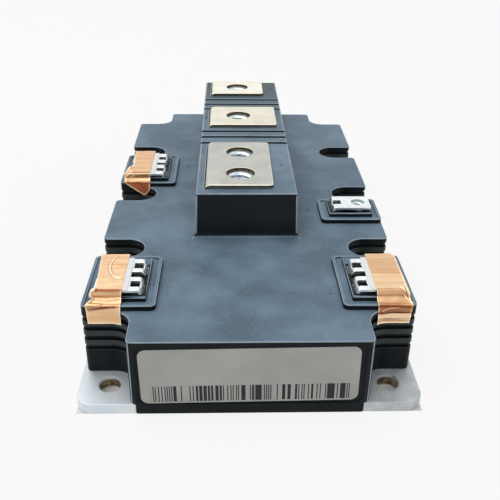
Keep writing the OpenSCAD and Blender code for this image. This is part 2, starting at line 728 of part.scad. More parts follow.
module bond_wires(n) color("silver") on_substrate(n) chip_places(0)
    for (i = [0:wire_count - 1])
        translate([0, (i - (wire_count - 1) / 2) * wire_pitch + wire_t / 2, 0]) rotate([90, 0, 0])
            linear_extrude(wire_t) {
                wire_loop_shape(igbt_x, chip_top, diode_x + 3 * wire_t, chip_top);
                wire_loop_shape(diode_x - wire_t, chip_top, wire_land_x, track_top);
            }

module thermistor() color("black") on_substrate(4)
    translate([(signal_in_x + signal_out_x) / 2, signal_split_y, track_top + thermistor_size[2] / 2])
        cube(thermistor_size, center = true);

baseplate();
adhesive_bead();
housing();
terminal_ac();
terminal_minus();
terminal_plus();
for (screw = screws) power_nut(screw[1]);
for (i = [0:3]) for (k = [1:seats[i][3]]) {
    aux_tab(seats[i], k);
    small_nut(seats[i], k);
}
for (i = [0, 1]) union() {
    tape(seats[i], rim_h - eps);
    tape_end(seats[i]);
}
union() {  // shorting_tape_back_left
    tape(seats[2], tape_t);
    tape_flap(seats[2]);
}
label();
for (n = substrates) {
    ceramic(n);
    copper_tracks(n);
    igbt_chips(n);
    diode_chips(n);
    bond_wires(n);
}
thermistor();
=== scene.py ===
# %% [markdown]
# # Dressing a half-bridge power transistor module
#
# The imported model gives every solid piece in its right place: a metal baseplate, a moulded housing,
# folded terminals, nuts, tabs, tape and the circuit inside. This notebook gives them their looks.
# Pieces whose outline is right keep their mesh and get a material. Pieces that need more are made
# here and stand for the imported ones: threads in the nuts, broken edges, creased copper tape.

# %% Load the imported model
import json
import math

import bmesh
import bpy
import numpy as np
from mathutils import Matrix, Vector


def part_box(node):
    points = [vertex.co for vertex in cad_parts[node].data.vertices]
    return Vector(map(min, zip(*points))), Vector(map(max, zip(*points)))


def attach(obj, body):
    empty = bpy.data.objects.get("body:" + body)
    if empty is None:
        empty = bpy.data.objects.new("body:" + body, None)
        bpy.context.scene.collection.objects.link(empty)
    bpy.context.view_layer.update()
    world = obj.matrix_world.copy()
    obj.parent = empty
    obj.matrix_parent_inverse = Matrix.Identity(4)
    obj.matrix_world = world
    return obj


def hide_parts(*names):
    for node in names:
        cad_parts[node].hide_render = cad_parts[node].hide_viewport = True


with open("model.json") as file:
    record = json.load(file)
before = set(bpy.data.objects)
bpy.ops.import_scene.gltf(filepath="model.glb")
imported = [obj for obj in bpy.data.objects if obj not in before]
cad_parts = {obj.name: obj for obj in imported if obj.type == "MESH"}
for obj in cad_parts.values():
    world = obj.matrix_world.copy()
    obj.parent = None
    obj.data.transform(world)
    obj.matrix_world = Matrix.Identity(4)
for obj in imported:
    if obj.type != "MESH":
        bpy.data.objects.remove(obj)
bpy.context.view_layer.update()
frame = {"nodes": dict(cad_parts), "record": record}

MM = 0.001
scene = bpy.context.scene
print("packed nodes:", len(frame["nodes"]))

# %% [markdown]
# ## Colour and nodes
#
# A colour is written as it is seen on a screen, so it goes through the sRGB curve before a shader
# uses it. Node trees are built by one small helper that adds a node with its settings and links,
# which keeps each material readable as a short list.

# %% Colour and node helpers
def linear(hex_colour):
    """Linear light of a hex colour: a straight part near black, then a power of 2.4."""
    seen = np.array([int(hex_colour[i:i + 2], 16) for i in (1, 3, 5)]) / 255
    curve = ((seen + 0.055) / 1.055) ** 2.4
    return (*np.where(seen <= 0.04045, seen / 12.92, curve).tolist(), 1.0)


def add(tree, kind, sockets=(), links=(), **settings):
    """Adds one node: settings are its own options, sockets its plain values, links its inputs."""
    node = tree.nodes.new(kind)
    for option, value in settings.items():
        setattr(node, option, value)
    for socket, value in dict(sockets).items():
        node.inputs[socket].default_value = value
    for socket, source in dict(links).items():
        tree.links.new(source, node.inputs[socket])
    return node


def shader_of(name, **sockets):
    """A material of that name, whose shader carries the values that are the same all over."""
    made = bpy.data.materials.new(name)
    made.use_nodes = True
    shader = made.node_tree.nodes["Principled BSDF"]
    for socket, value in sockets.items():
        shader.inputs[socket.replace("_", " ")].default_value = value
    return made, made.node_tree, shader


# %% [markdown]
# ## One recipe for worked surfaces
#
# Cast, rolled, plated and moulded surfaces differ in colour, but they share a build: a slow drift
# of tone, a finer grain that lifts the surface a few micrometres, and a roughness that follows the
# drift. The recipe takes the sizes of both in millimetres, and a stretch for rolled or brushed metal.

# %% The recipe
def worked_surface(name, low, high, drift_mm, grain_mm, relief_mm, roughness, stretch=(1, 1, 1), **sockets):
    """Tone runs from low to high with a slow noise, roughness between its two values with it,
    and a fine noise of grain_mm lifts the surface by relief_mm."""
    made, tree, shader = shader_of(name, **sockets)
    place = add(tree, "ShaderNodeTexCoord").outputs["Object"]
    drawn = add(tree, "ShaderNodeMapping", {"Scale": stretch}, {"Vector": place}).outputs["Vector"]
    drift = add(tree, "ShaderNodeTexNoise", {"Scale": 1 / (drift_mm * MM), "Detail": 3.0},
                {"Vector": drawn}).outputs["Fac"]
    grain = add(tree, "ShaderNodeTexNoise", {"Scale": 1 / (grain_mm * MM), "Detail": 2.0},
                {"Vector": drawn}).outputs["Fac"]
    tone = add(tree, "ShaderNodeValToRGB", links={"Fac": drift})
    tone.color_ramp.elements[0].position, tone.color_ramp.elements[1].position = 0.35, 0.65
    tone.color_ramp.elements[0].color, tone.color_ramp.elements[1].color = linear(low), linear(high)
    gloss = add(tree, "ShaderNodeMapRange", {"From Min": 0.3, "From Max": 0.7, "To Min": roughness[0],
                                             "To Max": roughness[1]}, {"Value": drift})
    relief = add(tree, "ShaderNodeBump", {"Distance": relief_mm * MM, "Strength": 1.0}, {"Height": grain})
    tree.links.new(tone.outputs["Color"], shader.inputs["Base Color"])
    tree.links.new(gloss.outputs["Result"], shader.inputs["Roughness"])
    tree.links.new(relief.outputs["Normal"], shader.inputs["Normal"])
    return made


# %% [markdown]
# ## The moulded housing's four surfaces
#
# The housing is glass-filled thermoplastic polyester, moulded slate black. Its decks are painted paler
# and bluer than its walls, as painted sheen from light above and behind, with bright specks where
# filler lies at the surface. The upright walls keep the almost black colour, and the faces of the fins
# are a little greyer, as a painted highlight. The broken edges carry a painted highlight, a pale line
# of light.

# %% Moulded polyester
# Painted sheen on the deck, and painted highlights on the fins' faces and on the edges.
deck_plastic_painted_sheen = worked_surface("moulded polyester, deck with painted sheen", "#5c7182", "#7b92a5", 15.0, 0.35, 0.012,
                              (0.45, 0.56), Specular_IOR_Level=0.2)
wall_plastic = worked_surface("moulded polyester, drawn wall", "#13191c", "#1c2224", 7.0, 0.5, 0.01,
                              (0.4, 0.5), Specular_IOR_Level=0.12)
fin_plastic_painted_highlight = worked_surface("moulded polyester, fin face with painted highlight", "#343c3d", "#434c4e", 5.0, 0.5, 0.01,
                             (0.4, 0.5), Specular_IOR_Level=0.2)
edge_plastic_painted_highlight = worked_surface("moulded polyester, edge with painted highlight", "#94a5b4", "#a9b8c5", 4.0, 0.4, 0.01,
                              (0.34, 0.44), Specular_IOR_Level=0.4)


def painted_over(made, factor, colour):
    """Mixes a colour over the base colour by a factor socket of the same tree."""
    tree = made.node_tree
    shader = tree.nodes["Principled BSDF"]
    base = shader.inputs["Base Color"].links[0].from_socket
    mixed = add(tree, "ShaderNodeMix", {"B": linear(colour)}, {"A": base, "Factor": factor}, data_type="RGBA")
    tree.links.new(mixed.outputs["Result"], shader.inputs["Base Color"])


def speckle(made, colour, cell_mm, share):
    """Specks of filler: a fine noise above a limit, so that about that share is covered."""
    tree = made.node_tree
    place = add(tree, "ShaderNodeTexCoord").outputs["Object"]
    fine = add(tree, "ShaderNodeTexNoise", {"Scale": 1 / (cell_mm * MM), "Detail": 1.0}, {"Vector": place})
    limits = {"From Min": 0.72 - share, "From Max": 0.80 - share, "To Max": 0.6}
    spots = add(tree, "ShaderNodeMapRange", limits, {"Value": fine.outputs["Fac"]})
    painted_over(made, spots.outputs["Result"], colour)


def edge_highlight_only_on_top(made, colour, low_mm, high_mm, end_mm):
    """The painted edge highlight is painted out dark below low_mm, fading in up to high_mm, but for the
    corners of the near end.
    """
    tree = made.node_tree
    place = add(tree, "ShaderNodeTexCoord").outputs["Object"]
    axes = add(tree, "ShaderNodeSeparateXYZ", links={"Vector": place})
    low = add(tree, "ShaderNodeMapRange", {"From Min": high_mm * MM, "From Max": low_mm * MM},
              {"Value": axes.outputs["Z"]})
    inner = add(tree, "ShaderNodeMath", {1: end_mm * MM}, {0: axes.outputs["Y"]}, operation="GREATER_THAN")
    dark = add(tree, "ShaderNodeMath", links={0: low.outputs["Result"], 1: inner.outputs[0]},
               operation="MULTIPLY")
    painted_over(made, dark.outputs[0], colour)


def darker_far_block(made, colour, near_mm, far_mm, above_mm):
    """The block's top is painted darker towards the far end: a ramp along Y, above above_mm."""
    tree = made.node_tree
    place = add(tree, "ShaderNodeTexCoord").outputs["Object"]
    axes = add(tree, "ShaderNodeSeparateXYZ", links={"Vector": place})
    ramp = add(tree, "ShaderNodeMapRange", {"From Min": near_mm * MM, "From Max": far_mm * MM},
               {"Value": axes.outputs["Y"]})
    high = add(tree, "ShaderNodeMath", {1: above_mm * MM}, {0: axes.outputs["Z"]}, operation="GREATER_THAN")
    share = add(tree, "ShaderNodeMath", links={0: ramp.outputs["Result"], 1: high.outputs[0]},
                operation="MULTIPLY")
    painted_over(made, share.outputs[0], colour)


# The block's top is painted darker towards the far end.
darker_far_block(deck_plastic_painted_sheen, "#48575b", 12.0, 80.0, 30.0)
speckle(deck_plastic_painted_sheen, "#a5b5c4", 0.3, 0.07)
# The painted edge highlight stays only on top: below the deck the edges are painted dark.
edge_highlight_only_on_top(edge_plastic_painted_highlight, "#23292c", 21.4, 22.0, -83.0)

# %% [markdown]
# ## Metals, film and ceramic
#
# Each metal starts from its typical colour. Nickel plate is cool and bright on the baseplate, and
# warmer on the terminals. The sheared sides of the sheets are painted darker, as painted shade, and
# their rounded edges paler, as a painted highlight. The walls of the holes are darker. The baseplate's
# right side is scuffed and darkened by painted shade. Zinc plate is bluish and tin is nearly white.
# The circuit inside isn't seen with the housing on, but it is finished too: fired alumina, bare
# copper, silicon and drawn aluminium wire.

# %% The other materials
nickel_base = worked_surface("nickel plate on rolled copper baseplate", "#e6f3fa", "#f9fdff", 6.0, 0.8, 0.008,
                             (0.42, 0.55), (1, 0.25, 1), Metallic=0.35)
hole_wall = worked_surface("nickel plate, drilled hole", "#4d4634", "#b0a27e", 1.2, 0.4, 0.01,
                           (0.3, 0.45), Metallic=1.0)
# Painted shade on the sheets' sheared sides.
sheared_side_painted_shade = worked_surface("nickel plate, sheared side with painted shade", "#45443c", "#5a584d", 1.5, 0.3, 0.01,
                              (0.45, 0.6), Metallic=0.8)
punched_wall = worked_surface("tarnished copper, punched hole", "#4f3a2c", "#6d5340", 1.0, 0.3, 0.01,
                              (0.35, 0.5), Metallic=0.8)
nickel_ac = worked_surface("nickel plate on near terminal sheet", "#b7b7b1", "#c5c5be", 5.0, 0.28, 0.012,
                           (0.34, 0.42), Metallic=1.0)
nickel_far = worked_surface("nickel plate on far terminal sheets", "#ddd8c8", "#e9e4d3", 5.0, 0.28, 0.01,
                            (0.34, 0.42), Metallic=1.0)
nickel_plus = worked_surface("nickel plate on positive terminal sheet", "#eceada", "#f6f4e4", 5.0, 0.28, 0.01,
                             (0.34, 0.42), Metallic=1.0)
# Painted highlight on the sheets' rounded edges.
nickel_edge_painted_highlight = worked_surface("nickel plate, sheared edge with painted highlight", "#efe3c9", "#faf1dc", 2.0, 0.3, 0.006,
                             (0.3, 0.4), Metallic=1.0)
zinc = worked_surface("zinc plate on cold-formed steel", "#c8d6de", "#e3ecf1", 1.5, 0.2, 0.005,
                      (0.25, 0.35), Metallic=1.0)
tin = worked_surface("tin plate on folded copper", "#dfe8ea", "#f2f6f5", 2.0, 0.25, 0.006,
                     (0.3, 0.4), Metallic=1.0)
silicone = worked_surface("cured silicone adhesive", "#d8d8d4", "#e2e2df", 3.0, 0.5, 0.02, (0.45, 0.6))
alumina = worked_surface("fired alumina", "#e9e9e4", "#f2f1ec", 3.0, 0.15, 0.004, (0.45, 0.6))
track_copper = worked_surface("etched copper", "#b97a55", "#cf9069", 2.5, 0.3, 0.006,
                              (0.3, 0.45), Metallic=1.0)
silicon = worked_surface("metallised silicon", "#4c5057", "#5d626b", 2.0, 0.2, 0.002,
                         (0.2, 0.3), Metallic=0.6)
wire_aluminium = worked_surface("drawn aluminium wire", "#d2d2d4", "#e2e2e4", 1.0, 0.15, 0.003,
                                (0.25, 0.35), Metallic=1.0)
thermistor_body = worked_surface("fired thermistor body", "#1c1c1d", "#28282a", 0.8, 0.15, 0.005, (0.45, 0.6))

# %% [markdown]
# ## Copper foil
#
# The shorting tape is thin copper foil on an adhesive. Handled foil is never flat: its surface is
# slightly uneven, in fine lines across the strip. These are bump here, and the folds and creases
# are put in the mesh further down.

# %% Copper foil
foil = worked_surface("rolled copper foil, handled", "#e0b488", "#edc9a0", 1.5, 0.5, 0.01,
                      (0.34, 0.44), (0.1, 1, 1), Metallic=1.0)
foil_back = worked_surface("copper foil, adhesive side", "#8d4d2c", "#a8643c", 2.0, 1.0, 0.02,
                           (0.45, 0.55), Metallic=0.7)
liner = worked_surface("glassine liner under the foil", "#fbfdfd", "#ffffff", 2.0, 0.4, 0.01, (0.3, 0.4),
                       Specular_IOR_Level=0.9)


def painted_fold_shade_and_highlight(made, dark, bright):
    """The mesh carries a tone: above 0 the foil gets painted shade, below 0 a painted highlight."""
    tree = made.node_tree
    tone = add(tree, "ShaderNodeAttribute", attribute_name="painted fold shade and highlight").outputs["Fac"]
    for end, colour in ((1.0, dark), (-1.0, bright)):
        share = add(tree, "ShaderNodeMapRange", {"From Min": 0.0, "From Max": end}, {"Value": tone})
        painted_over(made, share.outputs["Result"], colour)


def scuffs_and_painted_side_shade(made, colour, near_mm, far_mm, cell_mm, share):
    """Scuffs, and painted shade on the baseplate's right side: a patchy darkening that grows along X from
    near_mm to far_mm.
    """
    tree = made.node_tree
    place = add(tree, "ShaderNodeTexCoord").outputs["Object"]
    axes = add(tree, "ShaderNodeSeparateXYZ", links={"Vector": place})
    limits = {"From Min": near_mm * MM, "From Max": far_mm * MM, "To Max": share}
    ramp = add(tree, "ShaderNodeMapRange", limits, {"Value": axes.outputs["X"]})
    patch = add(tree, "ShaderNodeTexNoise", {"Scale": 1 / (cell_mm * MM), "Detail": 5.0}, {"Vector": place})
    worn = add(tree, "ShaderNodeMapRange", {"From Min": 0.35, "From Max": 0.65, "To Min": 0.6},
               {"Value": patch.outputs["Fac"]})
    mask = add(tree, "ShaderNodeMath", links={0: ramp.outputs["Result"], 1: worn.outputs["Result"]},
               operation="MULTIPLY")
    painted_over(made, mask.outputs[0], colour)


# Scuffs and painted shade darken the baseplate's right side.
scuffs_and_painted_side_shade(nickel_base, "#7d8482", 10.0, 32.0, 3.0, 0.5)
# Painted shade in the foil's creases, and painted highlights on its ridges and edges.
painted_fold_shade_and_highlight(foil, "#84492a", "#ffedcf")
painted_fold_shade_and_highlight(foil_back, "#5e2f1a", "#f6d9ae")

# %% [markdown]
# ## Label film
#
# The label is satin polyester film with a band of dark stripes along its lower part. The stripes
# come from a formula: the film is cut into steps of 0.27 mm, each step draws a number from its own
# place, and it is inked when the number passes a half. They encode nothing, and the rest is bare.

# %% Label film
label_lo, label_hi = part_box("label")
LABEL_MIDDLE = ((label_lo.x + label_hi.x) / 2, label_lo.y, (label_lo.z + label_hi.z) / 2)
LABEL_TURN = 0.85
STRIPE_STEP = 0.27 * MM
STRIPE_SPAN = (-24.9 * MM, 25.1 * MM)
STRIPE_BAND = (-7.8 * MM, -2.9 * MM)


def label_film():
    """Ink is where floor(x / step) draws more than a half, inside the band's width and height. The
    places are measured from the label's middle, turned back by the angle it was stuck on at."""
    made = worked_surface("satin polyester film, printed", "#b5b5b1", "#c2c2be", 12.0, 0.4, 0.004,
                          (0.38, 0.46), Specular_IOR_Level=0.3)
    tree = made.node_tree
    place = add(tree, "ShaderNodeTexCoord").outputs["Object"]
    straight = add(tree, "ShaderNodeMapping", {"Location": LABEL_MIDDLE,
                                               "Rotation": (0, -math.radians(LABEL_TURN), 0)},
                   {"Vector": place}, vector_type="TEXTURE")
    axes = add(tree, "ShaderNodeSeparateXYZ", links={"Vector": straight.outputs["Vector"]})
    steps = add(tree, "ShaderNodeMath", {1: STRIPE_STEP}, {0: axes.outputs["X"]}, operation="DIVIDE")
    whole = add(tree, "ShaderNodeMath", links={0: steps.outputs[0]}, operation="FLOOR")
    draw = add(tree, "ShaderNodeTexWhiteNoise", links={"W": whole.outputs[0]}, noise_dimensions="1D")
    inked = add(tree, "ShaderNodeMath", {1: 0.5}, {0: draw.outputs["Value"]}, operation="GREATER_THAN")
    for axis, (low, high) in (("X", STRIPE_SPAN), ("Z", STRIPE_BAND)):
        inside = add(tree, "ShaderNodeMath", {1: (low + high) / 2, 2: (high - low) / 2},
                     {0: axes.outputs[axis]}, operation="COMPARE")
        inked = add(tree, "ShaderNodeMath", links={0: inked.outputs[0], 1: inside.outputs[0]},
                    operation="MULTIPLY")
    painted_over(made, inked.outputs[0], "#20252a")
    return made


film = label_film()

# %% [markdown]
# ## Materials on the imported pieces
#
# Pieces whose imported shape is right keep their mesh: the label, the adhesive and the whole circuit.
# Their material goes on the object's own slot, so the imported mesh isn't touched.

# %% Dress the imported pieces
FINISH_OF = {
    "nickel_plate": nickel_base, "housing_plastic": wall_plastic, "adhesive": silicone,
    "terminal_nickel": nickel_ac, "zinc_steel": zinc, "tab_tin": tin, "copper_foil": foil,
    "label_film": film, "substrate_ceramic": alumina, "track_copper": track_copper,
    "silicon": silicon, "bond_aluminium": wire_aluminium, "thermistor_body": thermistor_body,
}
slot_of = {row["node"]: row["material_slot"] for row in frame["record"]["subparts"]}
for name, node in frame["nodes"].items():
    for holder in node.material_slots:
        holder.link = "OBJECT"
        holder.material = FINISH_OF[slot_of[name]]
print("dressed", len(frame["nodes"]), "packed nodes with", len(FINISH_OF), "finishes")

# %% [markdown]
# ## Broken edges
#
# No real moulding or stamping has knife edges. The imported mesh of such a piece is copied, its doubles
# are merged and its flat triangles joined. A Bevel modifier then rounds the outward edges only, and
# gives the new strips a material of their own, which on the housing and the terminals carries a painted
# highlight. The modifier keeps the flat faces flat, which hand-made normals would not do as simply.

# %% Soften the outward edges of a copy
# Height of the ledge under the block's rounded top, and the Y where the first groove ends it.
LEDGE_Z, LEDGE_END = 36.09, 9.9


def on_ledge(face):
    """Whether a face is in the hair-thin level ledge where the walls of the block's near part meet
    its rounded top. The ledge ends at the first groove."""
    middle = face.calc_center_median() / MM
    return abs(middle.z - LEDGE_Z) < 0.02 and middle.y < LEDGE_END and face.normal.z > 0.9


def merged_copy(node):
    """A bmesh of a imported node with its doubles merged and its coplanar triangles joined. The ledge
    is split again, because rounding the corners of so thin a band would leave it crossing itself."""
    shape = bmesh.new()
    shape.from_mesh(frame["nodes"][node].data)
    bmesh.ops.remove_doubles(shape, verts=shape.verts, dist=0.002 * MM)
    bmesh.ops.dissolve_limit(shape, angle_limit=math.radians(0.5), verts=shape.verts, edges=shape.edges)
    bmesh.ops.triangulate(shape, faces=[face for face in shape.faces if on_ledge(face)])
    return shape


def cut_at(shape, level_mm, places_mm):
    """Cuts the upward faces at that level along upright planes, given as (axis, place)."""
    for axis, place in places_mm:
        flat = [f for f in shape.faces
                if f.normal.z > 0.9 and abs(f.calc_center_median().z / MM - level_mm) < 0.05]
        parts = flat + list({e for f in flat for e in f.edges}) + list({v for f in flat for v in f.verts})
        normal = Vector((1, 0, 0)) if axis == "X" else Vector((0, 1, 0))
        bmesh.ops.bisect_plane(shape, geom=parts, plane_co=normal * place * MM, plane_no=normal, dist=1e-7)


def softened(name, node, width_mm, finishes, share_of=None, finish_of=None, sharp=30.0, cuts=None):
    """A copy of a node whose outward edges above the sharp angle are rounded. share_of gives an
    edge's share of width_mm from its middle and its run, finish_of a face's finish from its middle
    and its normal, both in millimetres. The last finish goes on the rounded edges."""
    shape = merged_copy(node)
    if cuts:
        cut_at(shape, *cuts)
    weight = shape.edges.layers.float.new("bevel_weight_edge")
    for edge in shape.edges:
        if edge.is_manifold and edge.is_convex and edge.calc_face_angle() > math.radians(sharp):
            a, b = (corner.co / MM for corner in edge.verts)
            edge[weight] = share_of((a + b) / 2, b - a) if share_of else 1.0
    for face in shape.faces:
        face.smooth = True
        face.material_index = finish_of(face.calc_center_median() / MM, face.normal) if finish_of else 0
    mesh = bpy.data.meshes.new(name)
    shape.to_mesh(mesh)
    shape.free()
    for finish in finishes:
        mesh.materials.append(finish)
    mesh.set_sharp_from_angle(angle=math.radians(sharp))
    made = bpy.data.objects.new(name, mesh)
    scene.collection.objects.link(made)
    rounding = made.modifiers.new("broken edges", "BEVEL")
    rounding.limit_method = "WEIGHT"
    rounding.width = width_mm * MM
    rounding.segments = 2
    rounding.use_clamp_overlap = False
    rounding.harden_normals = True
    rounding.material = len(finishes) - 1
    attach(made, "root")
    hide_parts(node)
    print(name, "from", node, "-", len(mesh.polygons), "faces before rounding")


# %% The housing, with its own widths and finishes
# Heights of the deck, the seats' rims and the block, then the block's near corner in X and Y.
DECK, RIM_TOP, BLOCK_TOP = 22.3, 23.8, 36.8
BLOCK_CORNER = (15.2, -32.1)
# Y of the near end wall, then the round ends of the screw pockets: X and radius, and the first's Y.
END_WALL, ROUND_X, POCKET_R = -86.0, 35.9, 5.5
FRONT_POCKET_Y = -78.0
LABEL_BED_HALF = 29.2
HOUSING_WIDTH = 0.5
# Height of the lowest fin's middle, and the step from fin to fin.
FIN_MIDDLE, FIN_PITCH = 12.35, 3.0

# Painted shade on the seats' tops under the tabs: in the boxes listed here they keep the dark wall
# colour instead of the deck's painted sheen. The tops are cut along the sides of the boxes, so that
# each face is either inside or outside.
ISLAND_TOP = 24.6
UNDER_TAB_SHADE_BOXES = []
for seat, last in (("front_left", 2), ("front_right", 2), ("back_left", 2), ("middle_right", 1)):
    low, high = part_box(f"aux_tab_{seat}_1")[0] / MM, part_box(f"aux_tab_{seat}_{last}")[1] / MM
    UNDER_TAB_SHADE_BOXES.append(((low.x + 0.2, low.y), (high.x - 0.2, high.y)))
ISLAND_CUTS = [(axis, corner[i]) for box in UNDER_TAB_SHADE_BOXES for corner in box for i, axis in enumerate("XY")]


def housing_share(middle, run):
    """Widths in millimetres over HOUSING_WIDTH: 0.5 down the block's near corners, 0.25 on all top
    edges, 0.12 on the fins, and none round the label's bed or along the block's rounded walls."""
    out_x, out_y = abs(middle.x) - BLOCK_CORNER[0], BLOCK_CORNER[1] - middle.y
    if abs(middle.y - END_WALL) < 0.4 and abs(middle.x) < LABEL_BED_HALF and middle.z < DECK - 0.5:
        return 0.0
    if abs(out_x) < 0.6 and abs(out_y) < 0.6 and abs(run.z) > 5:
        return 1.0
    on_block_wall = (abs(out_x) < 1 and out_y < 1) or (abs(out_y) < 1 and out_x < 1)
    if on_block_wall and DECK + 0.3 < middle.z < BLOCK_TOP - 0.5 and abs(run.z) < 5:
        return 0.0
    return (0.25 if middle.z > DECK - 0.6 else 0.12) / HOUSING_WIDTH


def housing_finish(middle, normal):
    """0 the dark wall colour, also as painted shade on the seats' tops under the tabs, 1 the deck with
    painted sheen, 2 a fin's face with painted highlight, 3 an edge with painted highlight.
    """
    if normal.z > 0.5:
        if abs(middle.z - ISLAND_TOP) < 0.05 and any(
                low[0] < middle.x < high[0] and low[1] < middle.y < high[1] for low, high in UNDER_TAB_SHADE_BOXES):
            return 0
        if middle.z > BLOCK_TOP - 2 and abs(middle.x) < BLOCK_CORNER[0] + 0.3:
            return 0 if middle.z < BLOCK_TOP - 0.9 else 3 if normal.z < 0.97 else 1
        return int(middle.z > DECK - 0.4)
    from_pocket = math.hypot(abs(middle.x) - ROUND_X, middle.y - FRONT_POCKET_Y)
    if 0.55 < abs(normal.x) < 0.75 and middle.y < END_WALL + 3 and abs(from_pocket - POCKET_R) > 0.4:
        return 3
    from_fin = (middle.z - FIN_MIDDLE) % FIN_PITCH
    is_fin = min(from_fin, FIN_PITCH - from_fin) < 0.5 and FIN_MIDDLE - 1 < middle.z < DECK - 3
    return 2 if is_fin and abs(normal.z) < 0.3 and abs(middle.y) < -END_WALL - 1.6 else 0


softened("housing_moulding", "housing", HOUSING_WIDTH,
         [wall_plastic, deck_plastic_painted_sheen, fin_plastic_painted_highlight, edge_plastic_painted_highlight],
         housing_share, housing_finish, cuts=(ISLAND_TOP, ISLAND_CUTS))


# %% The baseplate and the folded sheets
MOUNT_X, MOUNT_PITCH, MOUNT_REACH = 36.5, 39, 3.2


def plate_finish(middle, normal):
    """0 the plated faces, 1 the walls of the ten mounting holes, in two rows at MOUNT_X."""
    row = round(middle.y / MOUNT_PITCH) * MOUNT_PITCH
    return int(abs(normal.z) < 0.5 and math.hypot(abs(middle.x) - MOUNT_X, middle.y - row) < MOUNT_REACH)


softened("baseplate_plated", "baseplate", 0.25, [nickel_base, hole_wall, nickel_base],
         finish_of=plate_finish)

PLATE_HOLE_X, PLATE_HOLE_REACH = -1.7, 4.7
PLATE_HOLE_ROWS = (-19.3, -1.3, 37.0, 74.8)


def at_plate_hole(middle):
    """Whether a place is on the wall or rim of one of the terminals' screw holes."""
    away = min(math.hypot(middle.x - PLATE_HOLE_X, middle.y - row) for row in PLATE_HOLE_ROWS)
    return away < PLATE_HOLE_REACH


def sheet_finish(middle, normal):
    """0 the rolled faces, 1 the sheared sides with painted shade, 2 the walls of the screw holes."""
    if abs(normal.z) > 0.5:
        return 0
    return 2 if at_plate_hole(middle) else 1


def sheet_share(middle, run):
    """The rims of the holes are rounded half as much as the sheet's own edges."""
    return 0.5 if at_plate_hole(middle) else 1.0


for name, plated in (("ac", nickel_ac), ("minus", nickel_far), ("plus", nickel_plus)):
    softened(f"terminal_{name}_sheet", f"terminal_{name}", 0.22,
             [plated, sheared_side_painted_shade, punched_wall, nickel_edge_painted_highlight], sheet_share, sheet_finish)
for name in [n for n in frame["nodes"] if n.startswith("aux_tab_")]:
    softened(name.replace("aux_tab", "folded_tab"), name, 0.12, [tin, tin])

# %% [markdown]
# ## Surfaces on a grid
#
# The other new pieces are surfaces worked out with numpy. A grid of rows and columns is bent by a
# formula into the shape, and the faces follow from the numbering alone. A grid that closes on itself
# in both directions, like a ring, needs no caps.

# %% Grid to mesh
def grid_faces(rows, columns, closed_rows, closed_columns):
    """The four corners of each cell, numbered row by row, wrapping round where a way is closed."""
    r, c = np.meshgrid(np.arange(rows - (not closed_rows)), np.arange(columns - (not closed_columns)),
                       indexing="ij")
    r2, c2 = (r + 1) % rows, (c + 1) % columns
    corners = (r * columns + c, r2 * columns + c, r2 * columns + c2, r * columns + c2)
    return np.stack(corners, -1).reshape(-1, 4)


def surface(name, points_mm, finish, closed=(False, False), sharp=35.0, tone=None):
    """Puts a grid of points in millimetres into a mesh, and that into an object riding on root. A
    tone for each point, if there is one, is kept on the mesh as the foil's painted shade and highlight."""
    rows, columns = points_mm.shape[:2]
    mesh = bpy.data.meshes.new(name)
    faces = grid_faces(rows, columns, *closed)
    mesh.from_pydata((points_mm.reshape(-1, 3) * MM).tolist(), [], faces.tolist())
    mesh.materials.append(finish)
    mesh.polygons.foreach_set("use_smooth", np.ones(len(faces), bool))
    mesh.set_sharp_from_angle(angle=math.radians(sharp))
    if tone is not None:
        kept = mesh.attributes.new("painted fold shade and highlight", "FLOAT", "POINT")
        kept.data.foreach_set("value", np.clip(tone, -1, 1).ravel().astype(np.float32))
    made = bpy.data.objects.new(name, mesh)
    scene.collection.objects.link(made)
    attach(made, "root")
    return made


# %% [markdown]
# ## Threaded nuts
#
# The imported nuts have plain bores. A real one has chamfered corners and a helical thread, and both
# can be seen through the plate holes. One closed grid makes it: the rows run round the axis, and the
# columns run up the outside, in over the top, down the thread and back under the bottom.

# %% A threaded nut as one closed surface
AROUND = 96
STEPS_PER_TURN = 10


def threaded_nut(node, thread_r, pitch):
    """The outside lies at half the flats over the cosine of the angle to the middle of its flat.
    Beyond the chamfer circle both faces fall by the tangent of 30 degrees. The bore's radius is
    the thread's less a share of a triangle wave of height over pitch minus angle over a turn."""
    lo, hi = (np.array(corner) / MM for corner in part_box(node))
    flat, middle = (hi[0] - lo[0]) / 2, (lo + hi) / 2
    angle = np.linspace(0, 2 * np.pi, AROUND, endpoint=False)[:, None]
    outside = flat / np.cos((angle + np.pi / 6) % (np.pi / 3) - np.pi / 6)
    fall = np.maximum(outside - 0.98 * flat, 0) * math.tan(math.radians(30))
    height = np.linspace(hi[2], lo[2], round((hi[2] - lo[2]) / pitch * STEPS_PER_TURN))[None, :]
    wave = 1 - np.abs(2 * ((height / pitch - angle / (2 * np.pi)) % 1) - 1)
    end = np.clip(np.minimum(height - lo[2], hi[2] - height) / (0.8 * pitch), 0, 1)
    bore = thread_r + 0.12 * pitch * (1 - end) - 0.54 * pitch * np.clip(wave * 1.3 - 0.15, 0, 1) * end
    ring = np.ones_like(angle)
    radius = np.hstack([outside, outside, 0.98 * flat * ring, bore, 0.98 * flat * ring])
    level = np.hstack([lo[2] + fall, hi[2] - fall, hi[2] * ring, np.repeat(height, AROUND, 0), lo[2] * ring])
    points = np.stack([middle[0] + radius * np.cos(angle), middle[1] + radius * np.sin(angle), level], -1)
    made = surface(node.replace("nut", "threaded_nut"), points, zinc, closed=(True, True))
    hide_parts(node)


for name in [n for n in frame["nodes"] if n.startswith("m8_nut")]:
    threaded_nut(name, 4.0, 1.25)
for name in [n for n in frame["nodes"] if n.startswith("m4_nut")]:
    threaded_nut(name, 2.0, 0.7)

